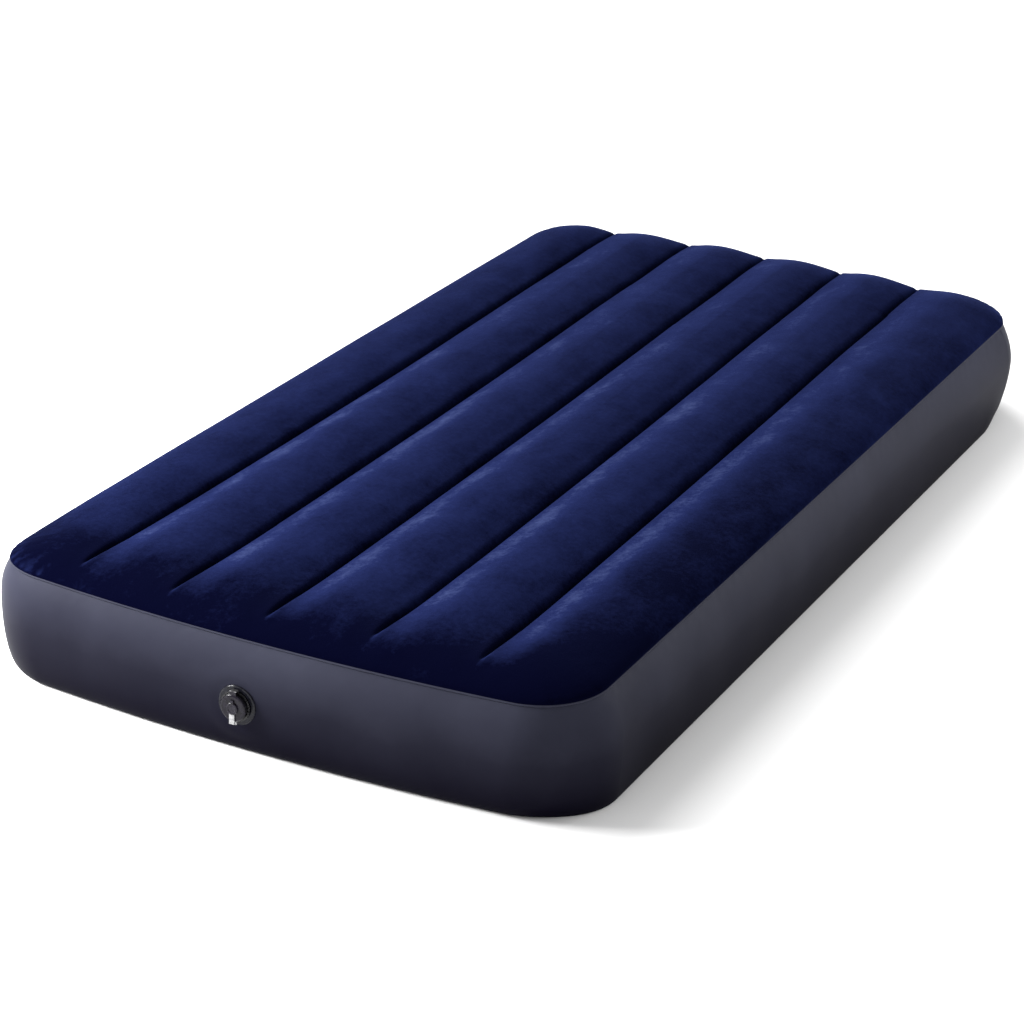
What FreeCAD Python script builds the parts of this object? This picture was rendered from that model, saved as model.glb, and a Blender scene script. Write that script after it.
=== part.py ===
import FreeCAD, Part

# Twin-size flocked air mattress, inflated, lying on a floor at z = 0.
# X runs across the bed, Y along it (the valve is in the foot end, towards -Y), Z up.
# The origin is on the floor, under the middle of the whole object with its valve.
# Sheets are modelled 2.4 mm thick, thicker than the real vinyl, so that they stay clear solids.

import math
import os

from FreeCAD import Vector

os.makedirs("parts", exist_ok=True)

# ---- driving dimensions, millimetres ----
WIDTH = 990.0  # over the bulge of the side walls
LENGTH = 1910.0  # over the bulge of the end walls, valve left out
HEIGHT = 200.0  # crest of the ribs
SHEET = 2.4  # thickness of every sheet

SEAM_Z = 166.0  # height of the seam between wall and top
SEAM_HEIGHT = 4.0  # height of the weld bead
SEAM_PROUD = 1.4  # how far the bead stands out
CORNER_R = 105.0  # plan radius of the seam at the corners
END_BOW = 30.0  # how far the ends bow out in plan
BULGE = 24.0  # how far the wall stands out of the seam line
BULGE_TOP_Z = 112.0  # the wall is upright from here down
FOOT_R = 18.0  # curl of the wall's lower edge
TURN_IN = 10.0  # how far the lower edge runs in under the seam line
SHOULDER = 100.0  # width of the rounded shoulder between seam and top
SHOULDER_R = 16.0  # radius of its steep lower part

RIB_PITCH = 154.0
CREASES = 5
CREASE_Z = 179.0  # bottom of the creases in the top
FLOOR_CREASE_Z = 14.0  # how far the creases in the underside are pulled up
FLOOR_CREASE_W = 44.0  # width of those creases
STRIP = 1.6  # thickness of the beams' welded edge strips
STRIP_W = 26.0  # width of those strips
WEB = 1.6  # thickness of the beams' upright webs
BEAM_HALF_LENGTH = 800.0
GAP = 0.3  # clearance between pieces that don't touch

VALVE_X = -18.0
VALVE_Z = 78.0
FLANGE_R = 29.5
FLANGE_T = 2.0
NECK_R = 20.0
NECK_BORE_R = 17.9
NECK_OUT = 9.0  # how far the neck stands out of the wall
NECK_IN = 12.0  # how far it reaches in
STOPPER_R = 20.0
STOPPER_T = 3.4
PLUG_R = 17.1
PLUG_TIP_R = 15.5
PLUG_DEPTH = 9.0
STOPPER_HINGE_R = 25.0  # strap's bend, above the valve's axis
CAP_R = 9.0
CAP_T = 2.2
CAP_BORE_R = 6.0
CAP_PLUG_R = 5.5
CAP_PLUG_TIP_R = 4.6
CAP_PLUG_DEPTH = 5.0
CAP_HINGE_R = 12.0
TAB_W = 8.0
TAB_OUT = 20.0  # reach of the pull tab below the valve's axis
FLAP_R = 15.6
FLAP_T = 1.2

# ---- worked out from those ----
SEAM_A = WIDTH / 2 - BULGE
SEAM_B = LENGTH / 2 - BULGE
VALVE_REACH = NECK_OUT + GAP + STOPPER_T + GAP + CAP_T
BODY_Y = VALVE_REACH / 2
WALL_Y = -LENGTH / 2 + BODY_Y
WALL_TOP = SEAM_Z - SEAM_HEIGHT / 2
PANEL_Z = SEAM_Z + SEAM_HEIGHT / 2
CREASE_X = [RIB_PITCH * (i - (CREASES - 1) / 2) for i in range(CREASES)]
UP = Vector(0, 0, 1)
ALONG = Vector(0, 1, 0)
OUT = Vector(0, -1, 0)


def save(shape, node):
    """Writes one node and prints its volume."""
    if not shape.isValid() or not shape.Solids:
        raise ValueError(f"{node} is not a valid solid")
    shape.exportStep(f"parts/{node}.step")
    print(node, len(shape.Solids), round(shape.Volume))


def box(x0, y0, z0, x1, y1, z1):
    return Part.makeBox(x1 - x0, y1 - y0, z1 - z0, Vector(x0, y0, z0))


def prism(points, vector):
    """A closed outline of straight runs, extruded."""
    return Part.Face(Part.makePolygon(points + [points[0]])).extrude(vector)


# ---- the outline in plan: straight sides, bowed ends, round corners ----


def end_arc():
    """Radius of the bowed ends and the height of their centre above the middle, at the seam."""
    reach = SEAM_A - CORNER_R
    sag = END_BOW * (reach / SEAM_A) ** 2
    radius = (reach**2 + sag**2) / (2 * sag)
    return radius, SEAM_B - radius


def outline(inset, z):
    """The seam line moved in by inset, as a closed wire at height z."""
    bow_r, bow_c = end_arc()
    corner = CORNER_R - inset
    cx = SEAM_A - CORNER_R
    cy = bow_c + math.sqrt((bow_r - CORNER_R) ** 2 - cx**2)
    lean = math.atan2(cx, cy - bow_c)
    half = (math.pi / 2 - lean) / 2

    def spot(x, y, r, a):
        return Vector(x + r * math.sin(a), y + r * math.cos(a), z)

    edges = []
    for turn in (0, 1):
        way = Part.Arc(
            spot(0, bow_c, bow_r - inset, -lean),
            spot(0, bow_c, bow_r - inset, 0),
            spot(0, bow_c, bow_r - inset, lean),
        )
        right = Part.Arc(
            spot(cx, cy, corner, lean),
            spot(cx, cy, corner, lean + half),
            spot(cx, cy, corner, math.pi / 2),
        )
        side = Part.LineSegment(Vector(cx + corner, cy, z), Vector(cx + corner, -cy, z))
        left = Part.Arc(
            spot(-cx, cy, corner, -math.pi / 2),
            spot(-cx, cy, corner, -lean - half),
            spot(-cx, cy, corner, -lean),
        )
        run = [left.toShape(), way.toShape(), right.toShape(), side.toShape()]
        for edge in run:
            if turn:
                edge.rotate(Vector(0, 0, 0), UP, 180)
            edges.append(edge)
    wire = Part.Wire(edges)
    wire.translate(Vector(0, BODY_Y, 0))
    return wire


def ring(edges):
    """Sweeps a closed profile of edges, drawn beside the right-hand seam, round the whole outline."""
    face = Part.Face(Part.Wire(edges))
    pieces = [sweep_edge(face, edge, beside(0, 0)) for edge in outline(0, 0).Edges]
    return pieces[0].fuse(pieces[1:]).removeSplitter()


def beside(out, z):
    """A point of a profile: out is measured outward from the right-hand seam."""
    return Vector(SEAM_A + out, BODY_Y, z)


def line(a, b):
    return Part.LineSegment(beside(*a), beside(*b)).toShape()


def arc(centre, radius, a0, a1):
    """An arc of a profile, from angle a0 to a1 in degrees, measured from outward towards up."""
    spots = []
    for a in (a0, (a0 + a1) / 2, a1):
        t = math.radians(a)
        spots.append(beside(centre[0] + radius * math.cos(t), centre[1] + radius * math.sin(t)))
    return Part.Arc(*spots).toShape()


def sweep_edge(face, edge, start):
    """The face carried to the edge's first point, then along a line or round an arc."""
    first = edge.valueAt(edge.FirstParameter)
    heading = edge.tangentAt(edge.FirstParameter)
    turn = math.degrees(math.atan2(heading.y, heading.x)) + 90
    local = face.copy()
    local.rotate(start, UP, turn)
    local.translate(first - Vector(start.x, start.y, 0))
    if isinstance(edge.Curve, Part.Line):
        last = edge.valueAt(edge.LastParameter)
        return local.extrude(last - first)
    angle = math.degrees(edge.Length / edge.Curve.Radius)
    return local.revolve(edge.Curve.Center, UP, -angle)


# ---- the skin ----


def wall_profile(depth, thickness):
    """The wall's section: a sheet of this thickness whose outer face lies depth inside the wall's."""
    rise = WALL_TOP - BULGE_TOP_Z
    bulge_r = (BULGE**2 + rise**2) / (2 * BULGE)
    top_c = (BULGE - bulge_r, BULGE_TOP_Z)
    foot_c = (BULGE - FOOT_R, FOOT_R)
    faces = []
    for d in (depth, depth + thickness):
        r = bulge_r - d
        top_angle = math.degrees(math.asin(rise / r))
        faces.append((r, top_angle, FOOT_R - d, BULGE - d, d))
    (r0, t0, f0, n0, z0), (r1, t1, f1, n1, z1) = faces
    top = [(top_c[0] + r * math.cos(math.radians(t)), WALL_TOP) for r, t in ((r0, t0), (r1, t1))]
    return [
        arc(top_c, r0, t0, 0),
        line((n0, BULGE_TOP_Z), (n0, FOOT_R)),
        arc(foot_c, f0, 0, -90),
        line((foot_c[0], z0), (-TURN_IN, z0)),
        line((-TURN_IN, z0), (-TURN_IN, z1)),
        line((-TURN_IN, z1), (foot_c[0], z1)),
        arc(foot_c, f1, -90, 0),
        line((n1, FOOT_R), (n1, BULGE_TOP_Z)),
        arc(top_c, r1, 0, t1),
        line(top[1], top[0]),
    ]


def side_wall():
    hole = Part.makeCylinder(NECK_R + 0.8, 20, Vector(VALVE_X, WALL_Y - 10, VALVE_Z), ALONG)
    return ring(wall_profile(0, SHEET)).cut(hole)


def wall_joint():
    """The lap strip inside the head end, where the two ends of the wall band are welded."""
    width = 14.0
    face = Part.Face(Part.Wire(wall_profile(SHEET + 0.5, 1.2)))
    strip = face.copy()
    strip.rotate(beside(0, 0), UP, 90)
    strip.translate(Vector(-SEAM_A, SEAM_B, 0) + Vector(-width / 2, 0, 0))
    strip = strip.extrude(Vector(width, 0, 0))
    return strip.common(box(-500, SEAM_B + BODY_Y - 40, SHEET + 3, 500, LENGTH, WALL_TOP - 1))


def top_seam():
    """The weld bead between the flocked top and the wall."""
    edge = SEAM_PROUD - 0.4
    points = [(-3.4, WALL_TOP), (edge, WALL_TOP), (SEAM_PROUD, WALL_TOP + 0.8)]
    points += [(SEAM_PROUD, PANEL_Z - 0.8), (edge, PANEL_Z), (-SHEET, PANEL_Z)]
    return ring([line(points[i - 1], points[i]) for i in range(len(points))])


def bottom_seam():
    """The weld band lying inside, over the joint of the wall's lower edge and the bottom panel."""
    low, high = SHEET, SHEET + STRIP
    points = [(-TURN_IN - 9, low), (-1.0, low), (-1.0, high), (-TURN_IN - 9, high)]
    return ring([line(points[i - 1], points[i]) for i in range(len(points))])


def crown(drop):
    """The solid under a rounded top, lowered by drop: a shoulder of two arcs all round, a flat middle."""
    rise = HEIGHT - PANEL_Z
    tight = SHOULDER_R
    wide = (SHOULDER**2 + rise**2 - 2 * SHOULDER * tight) / (2 * (rise - tight))
    tight_c, wide_c = (-tight, PANEL_Z), (-SHOULDER, HEIGHT - wide)
    meet = math.degrees(math.atan2(tight_c[1] - wide_c[1], tight_c[0] - wide_c[0]))
    shoulder = ring(
        [
            arc(tight_c, tight - drop, 0, meet),
            arc(wide_c, wide - drop, meet, 90),
            line((-SHOULDER, HEIGHT - drop), (-SHOULDER, PANEL_Z)),
            line((-SHOULDER, PANEL_Z), (-drop, PANEL_Z)),
        ]
    )
    middle = Part.Face(outline(SHOULDER, PANEL_Z)).extrude(Vector(0, 0, rise - drop))
    return shoulder.fuse(middle).removeSplitter()


def ribs(drop):
    """A long prism whose upper face is the row of ribs, lowered by drop."""
    reach_x, reach_y = WIDTH / 2 + 20, LENGTH / 2 + 20
    low, dip, crest = PANEL_Z - 20, CREASE_Z - drop, HEIGHT - drop
    y = BODY_Y - reach_y
    radius, _ = rib_arc()
    first, last = CREASE_X[0], CREASE_X[-1]
    half = RIB_PITCH / 2

    def spot(x, z):
        return Vector(x, y, z)

    def bow(x0, xm, x1):
        heights = [crest - radius + math.sqrt(radius**2 - (x - c) ** 2) for x, c in ((x0, xm), (x1, xm))]
        x_mid = (x0 + x1) / 2
        mid = crest - radius + math.sqrt(radius**2 - (x_mid - xm) ** 2)
        return Part.Arc(spot(x0, heights[0]), spot(x_mid, mid), spot(x1, heights[1])).toShape()

    edges = [Part.LineSegment(spot(-reach_x, low), spot(-reach_x, crest)).toShape()]
    edges.append(Part.LineSegment(spot(-reach_x, crest), spot(first - half, crest)).toShape())
    edges.append(bow(first - half, first - half, first))
    for x in CREASE_X[:-1]:
        edges.append(bow(x, x + half, x + RIB_PITCH))
    edges.append(bow(last, last + half, last + half))
    edges.append(Part.LineSegment(spot(last + half, crest), spot(reach_x, crest)).toShape())
    edges.append(Part.LineSegment(spot(reach_x, crest), spot(reach_x, low)).toShape())
    edges.append(Part.LineSegment(spot(reach_x, low), spot(-reach_x, low)).toShape())
    return Part.Face(Part.Wire(edges)).extrude(Vector(0, 2 * reach_y, 0))


def rib_arc():
    """Radius of a rib's section, and the height of its surface above the crease at x from it."""
    half, sag = RIB_PITCH / 2, HEIGHT - CREASE_Z
    radius = (half**2 + sag**2) / (2 * sag)
    return radius, lambda x: math.sqrt(radius**2 - (half - x) ** 2) - (radius - sag)


def top_panel():
    outer = crown(0).common(ribs(0))
    inner = crown(SHEET).common(ribs(SHEET))
    return outer.cut(inner)


def floor_crease(x, grow, half_length):
    """A tent-shaped prism standing on the floor over one weld line."""
    half, top = FLOOR_CREASE_W / 2 + grow * 1.3, FLOOR_CREASE_Z + grow * 1.2
    y = BODY_Y - half_length
    points = [Vector(x - half, y, 0), Vector(x, y, top), Vector(x + half, y, 0)]
    return prism(points, Vector(0, 2 * half_length, 0))


def bottom_panel():
    plate = Part.Face(outline(TURN_IN + 0.5, 0)).extrude(Vector(0, 0, SHEET))
    length = BEAM_HALF_LENGTH + 40
    tents = [floor_crease(x, SHEET, length + SHEET) for x in CREASE_X]
    hollows = [floor_crease(x, 0, length) for x in CREASE_X]
    return plate.fuse(tents).cut(Part.makeCompound(hollows))


# ---- the beams inside ----


def chevron(x, z, slope, thickness):
    """A strip bent along its middle: z is the upper face's middle, slope its rise outward."""
    w, y = STRIP_W / 2, BODY_Y - BEAM_HALF_LENGTH
    points = [(0, z), (w, z + slope * w), (w, z + slope * w - thickness)]
    points += [(0, z - thickness), (-w, z + slope * w - thickness), (-w, z + slope * w)]
    corners = [Vector(x + px, y, pz) for px, pz in points]
    return prism(corners, Vector(0, 2 * BEAM_HALF_LENGTH, 0))


def beam(i, x):
    """One beam: its upper strip in the crease, its lower strip on the floor crease, and the web."""
    joint = 0.5
    _, rise = rib_arc()
    top_z = CREASE_Z - SHEET - joint
    top = chevron(x, top_z, rise(STRIP_W / 2) / (STRIP_W / 2), STRIP)
    tent_slope = (FLOOR_CREASE_Z + 1.2 * SHEET) / (FLOOR_CREASE_W / 2 + 1.3 * SHEET)
    low_z = FLOOR_CREASE_Z + 1.2 * SHEET + joint + STRIP
    low = chevron(x, low_z, -tent_slope, STRIP)
    y0, y1 = BODY_Y - BEAM_HALF_LENGTH, BODY_Y + BEAM_HALF_LENGTH
    web = box(x - WEB / 2, y0, low_z, x + WEB / 2, y1, top_z - STRIP)
    save(top, f"beam_{i}_top_strip")
    save(low, f"beam_{i}_bottom_strip")
    save(web, f"beam_{i}_web")


# ---- the valve: r is measured from its axis, q outward from the wall ----


def turned(points):
    """A solid of revolution about the valve's axis, from its section in (r, q)."""
    corners = [Vector(VALVE_X + r, WALL_Y - q, VALVE_Z) for r, q in points]
    face = Part.Face(Part.makePolygon(corners + [corners[0]]))
    return face.revolve(Vector(VALVE_X, WALL_Y, VALVE_Z), OUT, 360)


def block(half_width, r0, q0, r1, q1):
    """A block on the valve's middle plane, from height r0 to r1 above the axis."""
    return box(
        VALVE_X - half_width,
        WALL_Y - q1,
        VALVE_Z + r0,
        VALVE_X + half_width,
        WALL_Y - q0,
        VALVE_Z + r1,
    )


def valve_body():
    points = [(NECK_BORE_R, -NECK_IN), (NECK_R, -NECK_IN), (NECK_R, 0), (FLANGE_R, 0)]
    points += [(FLANGE_R, 1.0), (FLANGE_R - 0.8, 1.7), (FLANGE_R - 2.2, FLANGE_T)]
    points += [(NECK_R + 1.4, FLANGE_T), (NECK_R, FLANGE_T + 1.3), (NECK_R, NECK_OUT - 0.6)]
    points += [(NECK_R - 0.6, NECK_OUT), (NECK_BORE_R, NECK_OUT)]
    return turned(points)


def valve_seat():
    """A ring with crossed bars that the check flap closes against."""
    q0, q1 = -NECK_IN + 0.4, -NECK_IN + 2.4
    rim, bore = NECK_BORE_R - 0.05, 14.5
    shape = turned([(bore, q0), (rim, q0), (rim, q1), (bore, q1)])
    bar = block(1.2, -bore - 0.5, q0, bore + 0.5, q1)
    cross = bar.copy()
    cross.rotate(Vector(VALVE_X, WALL_Y, VALVE_Z), ALONG, 90)
    hub = turned([(0, q0), (3.5, q0), (3.5, q1), (0, q1)])
    return shape.fuse([bar, cross, hub]).removeSplitter()


def check_flap():
    """A thin disc, cut straight along its hinge line at the top."""
    q1 = -NECK_IN + 0.1
    disc = turned([(0, q1 - FLAP_T), (FLAP_R, q1 - FLAP_T), (FLAP_R, q1), (0, q1)])
    return disc.cut(block(FLAP_R, FLAP_R - 0.8, q1 - 2 * FLAP_T, FLAP_R + 1, q1 + 1))


def stopper_planes():
    """The stopper's underside and face, and the height of its hinge line, outward from the wall."""
    under = NECK_OUT + GAP
    return under, under + STOPPER_T, under + 1.2


def stopper():
    """The wide stopper: rim, tapered plug, a short tube for the small cap, hinge lug and lip."""
    under, face, bend = stopper_planes()
    tip = under - PLUG_DEPTH
    roof = under - 0.6
    wall = 1.8
    tube = CAP_BORE_R + 1.8
    points = [(CAP_BORE_R, face), (STOPPER_R - 2.4, face), (STOPPER_R - 0.8, face - 0.5)]
    points += [(STOPPER_R, face - 1.4), (STOPPER_R, under), (PLUG_R, under), (PLUG_TIP_R, tip)]
    points += [(PLUG_TIP_R - wall, tip), (PLUG_R - wall - 0.1, roof), (tube, roof)]
    points += [(tube, roof - 3.0), (CAP_BORE_R, roof - 3.0)]
    body = turned(points)
    lug = block(5.0, STOPPER_R - 1.5, bend - 0.4, STOPPER_HINGE_R + 0.4, bend + 1.0)
    lip = block(5.5, -STOPPER_R - 4.5, under + 0.6, -STOPPER_R + 1.5, under + 2.2)
    return body.fuse([lug, lip]).removeSplitter()


def stopper_strap():
    """The collar round the neck and the arm that stands up to the stopper's bending line."""
    _, _, bend = stopper_planes()
    q0, q1 = FLANGE_T + 1.6, FLANGE_T + 3.4
    collar = turned([(NECK_R + GAP, q0), (NECK_R + 2.6, q0), (NECK_R + 2.6, q1), (NECK_R + GAP, q1)])
    arm = block(5.0, NECK_R + 2.2, q0, STOPPER_HINGE_R + 0.6, q1)
    riser = block(5.0, STOPPER_HINGE_R - 1.2, q0, STOPPER_HINGE_R + 0.6, bend - 0.8)
    return collar.fuse([arm, riser]).removeSplitter()


def cap_planes():
    """The small cap's underside and face, and its hinge line, outward from the wall."""
    _, face, _ = stopper_planes()
    under = face + GAP
    return under, under + CAP_T, under + 1.1


def inflation_cap():
    """The small cap with its tapered plug, hinge lug and pull tab."""
    under, face, bend = cap_planes()
    tip = under - CAP_PLUG_DEPTH
    points = [(0, face - 0.5), (CAP_R - 4.0, face - 0.5), (CAP_R - 3.2, face), (CAP_R - 0.7, face)]
    points += [(CAP_R, face - 0.7), (CAP_R, under), (CAP_PLUG_R, under), (CAP_PLUG_TIP_R, tip)]
    points += [(0, tip)]
    lug = block(2.6, CAP_R - 1.0, bend - 0.4, CAP_HINGE_R + 0.4, bend + 0.8)
    tab = block(TAB_W / 2, -TAB_OUT - 3.0, under + 0.5, -CAP_R + 1.5, under + 1.7)
    grip = block(TAB_W / 2, -TAB_OUT - 3.0, under + 0.5, -TAB_OUT - 1.4, under + CAP_T)
    return turned(points).fuse([lug, tab, grip]).removeSplitter()


def cap_strap():
    """The small post on the stopper's face that the cap's lug bends on."""
    _, _, bend = cap_planes()
    _, face, _ = stopper_planes()
    return block(2.6, CAP_HINGE_R - 1.0, face, CAP_HINGE_R + 1.2, bend - 0.8)


save(top_panel(), "top_panel")
save(bottom_panel(), "bottom_panel")
save(side_wall(), "side_wall")
save(wall_joint(), "wall_joint")
save(top_seam(), "top_seam")
save(bottom_seam(), "bottom_seam")
for number, crease_x in enumerate(CREASE_X, 1):
    beam(number, crease_x)
save(valve_body(), "valve_body")
save(valve_seat(), "valve_seat")
save(check_flap(), "check_flap")
save(stopper(), "stopper")
save(stopper_strap(), "stopper_strap")
save(inflation_cap(), "inflation_cap")
save(cap_strap(), "cap_strap")
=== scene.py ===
import math

import bpy
import numpy as np
from mathutils import Matrix, Vector


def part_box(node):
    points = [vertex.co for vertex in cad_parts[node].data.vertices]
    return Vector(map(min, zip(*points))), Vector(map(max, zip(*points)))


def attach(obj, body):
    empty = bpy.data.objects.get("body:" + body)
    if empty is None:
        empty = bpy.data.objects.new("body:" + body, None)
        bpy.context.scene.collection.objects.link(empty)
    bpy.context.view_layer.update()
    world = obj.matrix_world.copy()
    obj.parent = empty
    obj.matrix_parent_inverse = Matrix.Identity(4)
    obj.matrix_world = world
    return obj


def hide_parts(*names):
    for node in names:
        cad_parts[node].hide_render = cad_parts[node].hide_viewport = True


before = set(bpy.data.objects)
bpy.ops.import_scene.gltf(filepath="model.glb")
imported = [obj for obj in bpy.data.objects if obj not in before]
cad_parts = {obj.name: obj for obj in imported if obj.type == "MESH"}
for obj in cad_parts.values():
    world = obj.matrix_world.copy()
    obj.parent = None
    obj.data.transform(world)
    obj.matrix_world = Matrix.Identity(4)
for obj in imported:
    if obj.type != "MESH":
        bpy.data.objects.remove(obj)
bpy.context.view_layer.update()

# ---- the mattress's measures, in metres, from the frame ----
SKIN_LOW, SKIN_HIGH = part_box("side_wall")
TOP_LOW, TOP_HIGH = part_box("top_panel")
BEAD_LOW, BEAD_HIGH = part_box("top_seam")
VALVE_LOW, VALVE_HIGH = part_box("valve_body")
WEB_LOW, WEB_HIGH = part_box("beam_1_web")

MID_Y = (TOP_LOW.y + TOP_HIGH.y) / 2
SEAM_A = (TOP_HIGH.x - TOP_LOW.x) / 2
SEAM_B = (TOP_HIGH.y - TOP_LOW.y) / 2
CREST_Z = TOP_HIGH.z
SEAM_Z = (BEAD_LOW.z + BEAD_HIGH.z) / 2
BULGE = SKIN_HIGH.x - TOP_HIGH.x
CREASES = [(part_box(f"beam_{i}_web")[0].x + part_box(f"beam_{i}_web")[1].x) / 2 for i in range(1, 6)]
RIB = CREASES[1] - CREASES[0]
CREASE_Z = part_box("beam_1_top_strip")[0].z + 0.0045
VALVE = Vector(((VALVE_LOW.x + VALVE_HIGH.x) / 2, VALVE_LOW.y, (VALVE_LOW.z + VALVE_HIGH.z) / 2))
BEAM_SHARE = (WEB_HIGH.y - WEB_LOW.y) / (TOP_HIGH.y - TOP_LOW.y)  # of the length, that a beam runs
FLANGE_R = (VALVE_HIGH.x - VALVE_LOW.x) / 2
HOLE_R = FLANGE_R * 0.8  # radius of the wall's opening behind the valve
WALL_FACE_Y = SKIN_LOW.y  # the foot wall's outermost face, which the flange lies on

# ---- shape ----
CORNER_R = 0.105  # plan radius of the seam line at the corners
END_BOW = 0.030  # how far the ends bow out in plan
SHOULDER = 0.129  # width of the rounded shoulder between the seam and the top
WALL_MID = 0.097  # height of the wall's widest line
FOOT_IN = -0.007  # where the wall's turned-in edge ends and the bottom begins
FOOT_END = 0.0005  # the end walls meet the floor this far outside the seam line
FOOT_SIDE = 0.0169  # and the side walls this far
LEFT_IN = 0.007  # how far the left side is drawn in
CORNER_TUCK = 0.010  # how far the wall turns in under the corners
HEAD_TUCK = 0.020  # and further in under the head end's right corner
CORNER_PULL = 0.009  # how far the top's left foot corner is pulled out
CORNER_SLACK = 0.5  # how much less the wall bulges round the head end's right corner
SLIT = 0.0120  # how far a crease's narrow slit goes below the ribs' round flanks
SLIT_WIDE = 0.0042  # its half width
FINE = [0.0, 0.0010, 0.0024, 0.0045, 0.0075]  # grid columns beside a crease
GRID_STEP = 0.0054  # grid of the skin
WALL_ROWS = 44  # points of the wall's section, without its turned-in edge
STRIP_HALF = 0.013  # half width of the beams' welded strips
BASE_CREASE_HIGH = 0.013  # how far the creases in the underside are pulled up
BASE_CREASE_HALF = 0.022  # and their half width
OVERHANG = 0.0015  # how far the flocked top hangs out over the seam

CLOTH_STEP = 0.0125  # grid of the simulated cloth
CLOTH_FRAMES = 20
CLOTH_SLACK = -0.002  # the share by which the cloth shrinks: below 0 it is fuller than its drawn shape
CLOTH_CAP = 0.0020  # the simulation moves no point further than this

FOOT_DRIFT = -0.012  # how far the creases drift sideways from their beams at the foot end
FOOT_FAN = 0.010  # how much more or less than that the outermost ones do, so that they fan out
MIDDLE_DRIFT = -0.014  # the drift half way along
HEAD_DRIFT = -0.032  # and at the head end
CREASE_STOP = 0.038  # how far the creases on the left stop short of the foot seam
CREASE_STOP_RIGHT = 0.052  # and those on the right
CREASE_STOPS = np.where(np.array(CREASES) > RIB / 2, CREASE_STOP_RIGHT, CREASE_STOP)

# ---- camera: its angles, place and lens, with FOOT_END, FOOT_SIDE, SHOULDER and LEFT_IN, were solved
# together on the outline and the seam in the photo ----
CAMERA_YAW = 0.4634
CAMERA_PITCH = 0.4150
CAMERA_ROLL = 0.0308
CAMERA_PLACE = Vector((1.9005, -3.9719 + MID_Y, 1.9456))
CAMERA_LENS = 102.98

# ---- light and floor ----
KEY_TOWARDS = (-0.68, 0.36, 0.64)
KEY_STRENGTH = 4.2
KEY_ANGLE = 45
LEFT_PLACE = (-1.75, -1.65, 1.25)
LEFT_AIM = (-0.45, -0.95, 0.12)
LEFT_SIZE = (0.8, 0.8)
LEFT_POWER = 112
BACK_PLACE = (2.2, 2.2, 0.9)
BACK_AIM = (0.5, 0.85, 0.10)
BACK_SIZE = (1.0, 1.0)
BACK_POWER = 34
ROOM_STRENGTH = 0.70
FLOOR_SIZE = 14.0
FLOOR_Z = -0.0003  # just under the bed, so that the two don't share a plane


# ---------------------------------------------------------------- outline


def bow_arc():
    """Radius of the bowed ends, and the distance of their centre from the middle."""
    reach = SEAM_A - CORNER_R
    sag = END_BOW * (reach / SEAM_A) ** 2
    radius = (reach**2 + sag**2) / (2 * sag)
    return radius, SEAM_B - radius


BOW_R, BOW_C = bow_arc()
CORNER_X = SEAM_A - CORNER_R
CORNER_Y = BOW_C + math.sqrt((BOW_R - CORNER_R) ** 2 - CORNER_X**2)
LEAN = math.atan2(CORNER_X, CORNER_Y - BOW_C)


def end_of_column(x):
    """Where the seam line lies, in y from the middle, on a column at x."""
    ax = np.abs(x)
    bow = BOW_C + np.sqrt(BOW_R**2 - np.minimum(ax, CORNER_X + CORNER_R * math.sin(LEAN)) ** 2)
    corner = CORNER_Y + np.sqrt(np.maximum(CORNER_R**2 - np.maximum(ax - CORNER_X, 0) ** 2, 0))
    return np.where(ax <= CORNER_X + CORNER_R * math.sin(LEAN), bow, corner)


def inside(x, y):
    """Distance of plan points from the seam line, and the outward normal there."""
    ax, ay = np.abs(x), np.abs(y)
    side = SEAM_A - ax
    bow_d = np.hypot(ax, ay - BOW_C)
    end = BOW_R - bow_d
    corner_d = np.hypot(ax - CORNER_X, ay - CORNER_Y)
    angle = np.arctan2(ax - CORNER_X, ay - CORNER_Y)
    in_corner = (ax > CORNER_X) & (ay > CORNER_Y) & (angle > LEAN)
    use_side = (side < end) & ~in_corner
    d = np.where(in_corner, CORNER_R - corner_d, np.minimum(side, end))
    turn = np.maximum(corner_d, 1e-9)
    nx_edge = np.where(use_side, 1.0, ax / bow_d)
    ny_edge = np.where(use_side, 0.0, (ay - BOW_C) / bow_d)
    nx = np.where(in_corner, (ax - CORNER_X) / turn, nx_edge)
    ny = np.where(in_corner, (ay - CORNER_Y) / turn, ny_edge)
    return np.maximum(d, 0), nx * np.sign(x), ny * np.sign(y)


def columns(step, fine):
    """x of the grid's columns: fine beside each crease, and crowded towards the sides."""
    xs = []
    run = RIB - 2 * fine[-1]
    count = round(run / step)
    for x0 in CREASES[:-1]:
        xs += [x0 + f for f in fine]
        xs += list(x0 + fine[-1] + run * np.arange(1, count) / count)
        xs += [x0 + RIB - f for f in reversed(fine[1:])]
    last = CREASES[-1]
    xs += [last + f for f in fine]
    run = CORNER_X - last - fine[-1]
    count = round(run / step)
    xs += list(last + fine[-1] + run * np.arange(1, count) / count)
    turns = round(CORNER_R * math.pi / 2 / (step * 1.15))
    xs += list(CORNER_X + CORNER_R * np.sin(np.linspace(0, math.pi / 2, turns + 1)))
    right = np.array(xs)
    right = right[right > 1e-6]
    return np.concatenate([-right[::-1], [0.0], right])


def rows(step):
    """Row positions from -1 to 1, crowded towards both ends."""
    turns = round(CORNER_R * math.pi / 2 / (step * 1.15))
    d = CORNER_R * (1 - np.cos(np.linspace(0, math.pi / 2, turns + 1)))
    count = round((SEAM_B - CORNER_R) / step)
    middle = np.linspace(0, SEAM_B - CORNER_R, count + 1)
    half = np.concatenate([middle, (SEAM_B - d)[::-1][1:]]) / SEAM_B
    return np.concatenate([-half[::-1], half[1:]])


# ---------------------------------------------------------------- smooth noise


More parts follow.
